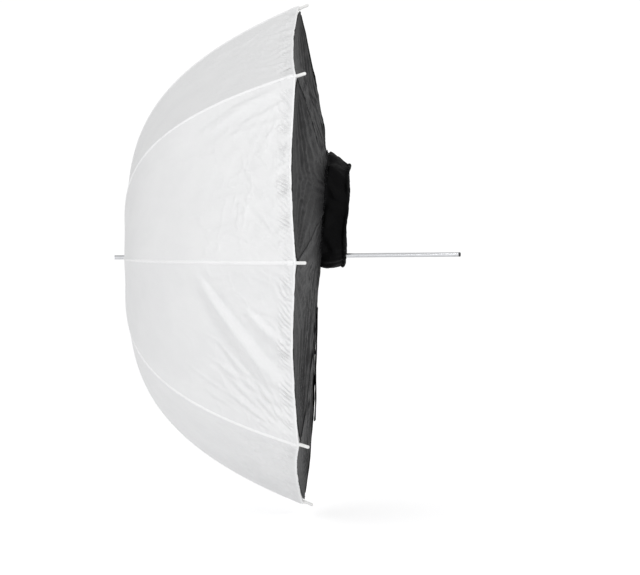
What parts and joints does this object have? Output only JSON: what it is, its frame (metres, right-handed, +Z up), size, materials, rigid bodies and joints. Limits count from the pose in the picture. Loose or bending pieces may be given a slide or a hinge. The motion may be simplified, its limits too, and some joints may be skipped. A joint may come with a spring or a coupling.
{
  "type": "umbrella reflector",
  "caption": "Deep eight-rib photo umbrella that folds on a sliding runner, with a black back cover and an elastic sleeve that closes round a lamp.",
  "frame": {"origin": "centre of the shaft's grip stretch, on the shaft's axis", "axes": "+X along the shaft from the canopy's closed front to the shaft's free end, +Z up, one rib pointing up"},
  "size_m": [0.64, 0.9292, 0.9292],
  "materials": {
    "chromed_tube": "bright chromed steel tube",
    "spring_steel": "bright drawn steel",
    "black_plastic": "moulded black nylon, satin",
    "dark_collar": "black oxide, satin",
    "white_plastic": "moulded white nylon, semi gloss",
    "white_rod": "glass-fibre rod, satin",
    "white_cloth": "translucent white nylon taffeta",
    "black_cloth": "black coated polyester with a light sheen",
    "black_sleeve": "matt black stretch cloth",
    "elastic": "woven elastic cord"
  },
  "bodies": {
    "root": {"shaft_tube": "chromed_tube", "shaft_plug": "black_plastic", "tip_collar": "dark_collar", "crown": "black_plastic", "crown_wire": "spring_steel", "crown_pin": "spring_steel", "canopy": "white_cloth", "lamp_sleeve": "black_sleeve", "sleeve_elastic": "elastic"},
    "runner": {"runner": "black_plastic", "runner_wire": "spring_steel"},
    "catch": {"catch_spring": "spring_steel"},
    "rib_1": {"rib_1": "white_rod"},
    "rib_1_middle": {"rib_clip_1": "black_plastic"},
    "rib_1_tip": {"rib_cap_1": "white_plastic"},
    "stretcher_1": {"stretcher_1": "spring_steel"},
    "cover_1": {"back_cover_1": "black_cloth"},
    "rib_2": {"rib_2": "white_rod"},
    "rib_2_middle": {"rib_clip_2": "black_plastic"},
    "rib_2_tip": {"rib_cap_2": "white_plastic"},
    "stretcher_2": {"stretcher_2": "spring_steel"},
    "cover_2": {"back_cover_2": "black_cloth"},
    "rib_3": {"rib_3": "white_rod"},
    "rib_3_middle": {"rib_clip_3": "black_plastic"},
    "rib_3_tip": {"rib_cap_3": "white_plastic"},
    "stretcher_3": {"stretcher_3": "spring_steel"},
    "cover_3": {"back_cover_3": "black_cloth"},
    "rib_4": {"rib_4": "white_rod"},
    "rib_4_middle": {"rib_clip_4": "black_plastic"},
    "rib_4_tip": {"rib_cap_4": "white_plastic"},
    "stretcher_4": {"stretcher_4": "spring_steel"},
    "cover_4": {"back_cover_4": "black_cloth"},
    "rib_5": {"rib_5": "white_rod"},
    "rib_5_middle": {"rib_clip_5": "black_plastic"},
    "rib_5_tip": {"rib_cap_5": "white_plastic"},
    "stretcher_5": {"stretcher_5": "spring_steel"},
    "cover_5": {"back_cover_5": "black_cloth", "cover_flap": "black_sleeve"},
    "rib_6": {"rib_6": "white_rod"},
    "rib_6_middle": {"rib_clip_6": "black_plastic"},
    "rib_6_tip": {"rib_cap_6": "white_plastic"},
    "stretcher_6": {"stretcher_6": "spring_steel"},
    "cover_6": {"back_cover_6": "black_cloth"},
    "rib_7": {"rib_7": "white_rod"},
    "rib_7_middle": {"rib_clip_7": "black_plastic"},
    "rib_7_tip": {"rib_cap_7": "white_plastic"},
    "stretcher_7": {"stretcher_7": "spring_steel"},
    "cover_7": {"back_cover_7": "black_cloth"},
    "rib_8": {"rib_8": "white_rod"},
    "rib_8_middle": {"rib_clip_8": "black_plastic"},
    "rib_8_tip": {"rib_cap_8": "white_plastic"},
    "stretcher_8": {"stretcher_8": "spring_steel"},
    "cover_8": {"back_cover_8": "black_cloth"}
  },
  "joints": [
    {"name": "runner_slide", "type": "slide", "parent": "root", "child": "runner", "axis": [1, 0, 0], "range_m": [0, 0.29377], "deforming": ["catch_spring", "lamp_sleeve", "sleeve_elastic"]},
    {"name": "catch_press", "type": "hinge", "parent": "root", "child": "catch", "pos_m": [-0.3095, 0, 0], "axis": [0, -1, 0], "range_deg": [0, 4.6], "stiffness_Nm_per_rad": 0.05},
    {"name": "rib_1_fold", "type": "hinge", "parent": "root", "child": "rib_1", "pos_m": [-0.5692, 0, 0.01], "axis": [0, -1, 0], "range_deg": [-76.46, 0]},
    {"name": "rib_1_bend_inner", "type": "hinge", "parent": "rib_1", "child": "rib_1_middle", "pos_m": [-0.54131, 0, 0.2281], "axis": [0, -1, 0], "range_deg": [0, 33.78], "deforming": ["rib_1"]},
    {"name": "rib_1_bend_outer", "type": "hinge", "parent": "rib_1_middle", "child": "rib_1_tip", "pos_m": [-0.42188, 0, 0.36608], "axis": [0, -1, 0], "range_deg": [0, 21.33]},
    {"name": "stretcher_1_fold", "type": "hinge", "parent": "rib_1_middle", "child": "stretcher_1", "pos_m": [-0.53671, 0, 0.22613], "axis": [0, -1, 0], "range_deg": [0, 91.74]},
    {"name": "cover_1_fold", "type": "hinge", "parent": "rib_1_tip", "child": "cover_1", "pos_m": [-0.25058, 0, 0.45167], "axis": [0, -1, 0], "range_deg": [-69.35, 0], "deforming": ["back_cover_1"]},
    {"name": "rib_2_fold", "type": "hinge", "parent": "root", "child": "rib_2", "pos_m": [-0.5692, -0.00707, 0.00707], "axis": [0, -0.7071, -0.7071], "range_deg": [-76.46, 0]},
    {"name": "rib_2_bend_inner", "type": "hinge", "parent": "rib_2", "child": "rib_2_middle", "pos_m": [-0.54131, -0.16129, 0.16129], "axis": [0, -0.7071, -0.7071], "range_deg": [0, 33.78], "deforming": ["rib_2"]},
    {"name": "rib_2_bend_outer", "type": "hinge", "parent": "rib_2_middle", "child": "rib_2_tip", "pos_m": [-0.42188, -0.25886, 0.25886], "axis": [0, -0.7071, -0.7071], "range_deg": [0, 21.33]},
    {"name": "stretcher_2_fold", "type": "hinge", "parent": "rib_2_middle", "child": "stretcher_2", "pos_m": [-0.53671, -0.15989, 0.15989], "axis": [0, -0.7071, -0.7071], "range_deg": [0, 91.74]},
    {"name": "cover_2_fold", "type": "hinge", "parent": "rib_2_tip", "child": "cover_2", "pos_m": [-0.25058, -0.31938, 0.31938], "axis": [0, -0.7071, -0.7071], "range_deg": [-68.75, 0], "deforming": ["back_cover_2"]},
    {"name": "rib_3_fold", "type": "hinge", "parent": "root", "child": "rib_3", "pos_m": [-0.5692, -0.01, 0], "axis": [0, 0, -1], "range_deg": [-76.46, 0]},
    {"name": "rib_3_bend_inner", "type": "hinge", "parent": "rib_3", "child": "rib_3_middle", "pos_m": [-0.54131, -0.2281, 0], "axis": [0, 0, -1], "range_deg": [0, 33.78], "deforming": ["rib_3"]},
    {"name": "rib_3_bend_outer", "type": "hinge", "parent": "rib_3_middle", "child": "rib_3_tip", "pos_m": [-0.42188, -0.36608, 0], "axis": [0, 0, -1], "range_deg": [0, 21.33]},
    {"name": "stretcher_3_fold", "type": "hinge", "parent": "rib_3_middle", "child": "stretcher_3", "pos_m": [-0.53671, -0.22613, 0], "axis": [0, 0, -1], "range_deg": [0, 91.74]},
    {"name": "cover_3_fold", "type": "hinge", "parent": "rib_3_tip", "child": "cover_3", "pos_m": [-0.25058, -0.45167, 0], "axis": [0, 0, -1], "range_deg": [-67.55, 0], "deforming": ["back_cover_3"]},
    {"name": "rib_4_fold", "type": "hinge", "parent": "root", "child": "rib_4", "pos_m": [-0.5692, -0.00707, -0.00707], "axis": [0, 0.7071, -0.7071], "range_deg": [-76.46, 0]},
    {"name": "rib_4_bend_inner", "type": "hinge", "parent": "rib_4", "child": "rib_4_middle", "pos_m": [-0.54131, -0.16129, -0.16129], "axis": [0, 0.7071, -0.7071], "range_deg": [0, 33.78], "deforming": ["rib_4"]},
    {"name": "rib_4_bend_outer", "type": "hinge", "parent": "rib_4_middle", "child": "rib_4_tip", "pos_m": [-0.42188, -0.25886, -0.25886], "axis": [0, 0.7071, -0.7071], "range_deg": [0, 21.33]},
    {"name": "stretcher_4_fold", "type": "hinge", "parent": "rib_4_middle", "child": "stretcher_4", "pos_m": [-0.53671, -0.15989, -0.15989], "axis": [0, 0.7071, -0.7071], "range_deg": [0, 91.74]},
    {"name": "cover_4_fold", "type": "hinge", "parent": "rib_4_tip", "child": "cover_4", "pos_m": [-0.25058, -0.31938, -0.31938], "axis": [0, 0.7071, -0.7071], "range_deg": [-66.8, 0], "deforming": ["back_cover_4"]},
    {"name": "rib_5_fold", "type": "hinge", "parent": "root", "child": "rib_5", "pos_m": [-0.5692, 0, -0.01], "axis": [0, 1, 0], "range_deg": [-76.46, 0]},
    {"name": "rib_5_bend_inner", "type": "hinge", "parent": "rib_5", "child": "rib_5_middle", "pos_m": [-0.54131, 0, -0.2281], "axis": [0, 1, 0], "range_deg": [0, 33.78], "deforming": ["rib_5"]},
    {"name": "rib_5_bend_outer", "type": "hinge", "parent": "rib_5_middle", "child": "rib_5_tip", "pos_m": [-0.42188, 0, -0.36608], "axis": [0, 1, 0], "range_deg": [0, 21.33]},
    {"name": "stretcher_5_fold", "type": "hinge", "parent": "rib_5_middle", "child": "stretcher_5", "pos_m": [-0.53671, 0, -0.22613], "axis": [0, 1, 0], "range_deg": [0, 91.74]},
    {"name": "cover_5_fold", "type": "hinge", "parent": "rib_5_tip", "child": "cover_5", "pos_m": [-0.25058, 0, -0.45167], "axis": [0, 1, 0], "range_deg": [-66.55, 0], "deforming": ["back_cover_5", "cover_flap"]},
    {"name": "rib_6_fold", "type": "hinge", "parent": "root", "child": "rib_6", "pos_m": [-0.5692, 0.00707, -0.00707], "axis": [0, 0.7071, 0.7071], "range_deg": [-76.46, 0]},
    {"name": "rib_6_bend_inner", "type": "hinge", "parent": "rib_6", "child": "rib_6_middle", "pos_m": [-0.54131, 0.16129, -0.16129], "axis": [0, 0.7071, 0.7071], "range_deg": [0, 33.78], "deforming": ["rib_6"]},
    {"name": "rib_6_bend_outer", "type": "hinge", "parent": "rib_6_middle", "child": "rib_6_tip", "pos_m": [-0.42188, 0.25886, -0.25886], "axis": [0, 0.7071, 0.7071], "range_deg": [0, 21.33]},
    {"name": "stretcher_6_fold", "type": "hinge", "parent": "rib_6_middle", "child": "stretcher_6", "pos_m": [-0.53671, 0.15989, -0.15989], "axis": [0, 0.7071, 0.7071], "range_deg": [0, 91.74]},
    {"name": "cover_6_fold", "type": "hinge", "parent": "rib_6_tip", "child": "cover_6", "pos_m": [-0.25058, 0.31938, -0.31938], "axis": [0, 0.7071, 0.7071], "range_deg": [-66.8, 0], "deforming": ["back_cover_6"]},
    {"name": "rib_7_fold", "type": "hinge", "parent": "root", "child": "rib_7", "pos_m": [-0.5692, 0.01, 0], "axis": [0, 0, 1], "range_deg": [-76.46, 0]},
    {"name": "rib_7_bend_inner", "type": "hinge", "parent": "rib_7", "child": "rib_7_middle", "pos_m": [-0.54131, 0.2281, 0], "axis": [0, 0, 1], "range_deg": [0, 33.78], "deforming": ["rib_7"]},
    {"name": "rib_7_bend_outer", "type": "hinge", "parent": "rib_7_middle", "child": "rib_7_tip", "pos_m": [-0.42188, 0.36608, 0], "axis": [0, 0, 1], "range_deg": [0, 21.33]},
    {"name": "stretcher_7_fold", "type": "hinge", "parent": "rib_7_middle", "child": "stretcher_7", "pos_m": [-0.53671, 0.22613, 0], "axis": [0, 0, 1], "range_deg": [0, 91.74]},
    {"name": "cover_7_fold", "type": "hinge", "parent": "rib_7_tip", "child": "cover_7", "pos_m": [-0.25058, 0.45167, 0], "axis": [0, 0, 1], "range_deg": [-67.55, 0], "deforming": ["back_cover_7"]},
    {"name": "rib_8_fold", "type": "hinge", "parent": "root", "child": "rib_8", "pos_m": [-0.5692, 0.00707, 0.00707], "axis": [0, -0.7071, 0.7071], "range_deg": [-76.46, 0]},
    {"name": "rib_8_bend_inner", "type": "hinge", "parent": "rib_8", "child": "rib_8_middle", "pos_m": [-0.54131, 0.16129, 0.16129], "axis": [0, -0.7071, 0.7071], "range_deg": [0, 33.78], "deforming": ["rib_8"]},
    {"name": "rib_8_bend_outer", "type": "hinge", "parent": "rib_8_middle", "child": "rib_8_tip", "pos_m": [-0.42188, 0.25886, 0.25886], "axis": [0, -0.7071, 0.7071], "range_deg": [0, 21.33]},
    {"name": "stretcher_8_fold", "type": "hinge", "parent": "rib_8_middle", "child": "stretcher_8", "pos_m": [-0.53671, 0.15989, 0.15989], "axis": [0, -0.7071, 0.7071], "range_deg": [0, 91.74]},
    {"name": "cover_8_fold", "type": "hinge", "parent": "rib_8_tip", "child": "cover_8", "pos_m": [-0.25058, 0.31938, 0.31938], "axis": [0, -0.7071, 0.7071], "range_deg": [-68.75, 0], "deforming": ["back_cover_8"]}
  ],
  "couplings": [
    {"joint": "rib_1_fold", "follows": "runner_slide", "rad_per_m": -4.5417},
    {"joint": "rib_1_bend_inner", "follows": "runner_slide", "rad_per_m": 2.0061},
    {"joint": "rib_1_bend_outer", "follows": "runner_slide", "rad_per_m": 1.2667},
    {"joint": "stretcher_1_fold", "follows": "runner_slide", "rad_per_m": 5.4499},
    {"joint": "cover_1_fold", "follows": "runner_slide", "rad_per_m": -4.1196},
    {"joint": "rib_2_fold", "follows": "runner_slide", "rad_per_m": -4.5417},
    {"joint": "rib_2_bend_inner", "follows": "runner_slide", "rad_per_m": 2.0061},
    {"joint": "rib_2_bend_outer", "follows": "runner_slide", "rad_per_m": 1.2667},
    {"joint": "stretcher_2_fold", "follows": "runner_slide", "rad_per_m": 5.4499},
    {"joint": "cover_2_fold", "follows": "runner_slide", "rad_per_m": -4.084},
    {"joint": "rib_3_fold", "follows": "runner_slide", "rad_per_m": -4.5417},
    {"joint": "rib_3_bend_inner", "follows": "runner_slide", "rad_per_m": 2.0061},
    {"joint": "rib_3_bend_outer", "follows": "runner_slide", "rad_per_m": 1.2667},
    {"joint": "stretcher_3_fold", "follows": "runner_slide", "rad_per_m": 5.4499},
    {"joint": "cover_3_fold", "follows": "runner_slide", "rad_per_m": -4.0127},
    {"joint": "rib_4_fold", "follows": "runner_slide", "rad_per_m": -4.5417},
    {"joint": "rib_4_bend_inner", "follows": "runner_slide", "rad_per_m": 2.0061},
    {"joint": "rib_4_bend_outer", "follows": "runner_slide", "rad_per_m": 1.2667},
    {"joint": "stretcher_4_fold", "follows": "runner_slide", "rad_per_m": 5.4499},
    {"joint": "cover_4_fold", "follows": "runner_slide", "rad_per_m": -3.9681},
    {"joint": "rib_5_fold", "follows": "runner_slide", "rad_per_m": -4.5417},
    {"joint": "rib_5_bend_inner", "follows": "runner_slide", "rad_per_m": 2.0061},
    {"joint": "rib_5_bend_outer", "follows": "runner_slide", "rad_per_m": 1.2667},
    {"joint": "stretcher_5_fold", "follows": "runner_slide", "rad_per_m": 5.4499},
    {"joint": "cover_5_fold", "follows": "runner_slide", "rad_per_m": -3.9533},
    {"joint": "rib_6_fold", "follows": "runner_slide", "rad_per_m": -4.5417},
    {"joint": "rib_6_bend_inner", "follows": "runner_slide", "rad_per_m": 2.0061},
    {"joint": "rib_6_bend_outer", "follows": "runner_slide", "rad_per_m": 1.2667},
    {"joint": "stretcher_6_fold", "follows": "runner_slide", "rad_per_m": 5.4499},
    {"joint": "cover_6_fold", "follows": "runner_slide", "rad_per_m": -3.9681},
    {"joint": "rib_7_fold", "follows": "runner_slide", "rad_per_m": -4.5417},
    {"joint": "rib_7_bend_inner", "follows": "runner_slide", "rad_per_m": 2.0061},
    {"joint": "rib_7_bend_outer", "follows": "runner_slide", "rad_per_m": 1.2667},
    {"joint": "stretcher_7_fold", "follows": "runner_slide", "rad_per_m": 5.4499},
    {"joint": "cover_7_fold", "follows": "runner_slide", "rad_per_m": -4.0127},
    {"joint": "rib_8_fold", "follows": "runner_slide", "rad_per_m": -4.5417},
    {"joint": "rib_8_bend_inner", "follows": "runner_slide", "rad_per_m": 2.0061},
    {"joint": "rib_8_bend_outer", "follows": "runner_slide", "rad_per_m": 1.2667},
    {"joint": "stretcher_8_fold", "follows": "runner_slide", "rad_per_m": 5.4499},
    {"joint": "cover_8_fold", "follows": "runner_slide", "rad_per_m": -4.084}
  ]
}
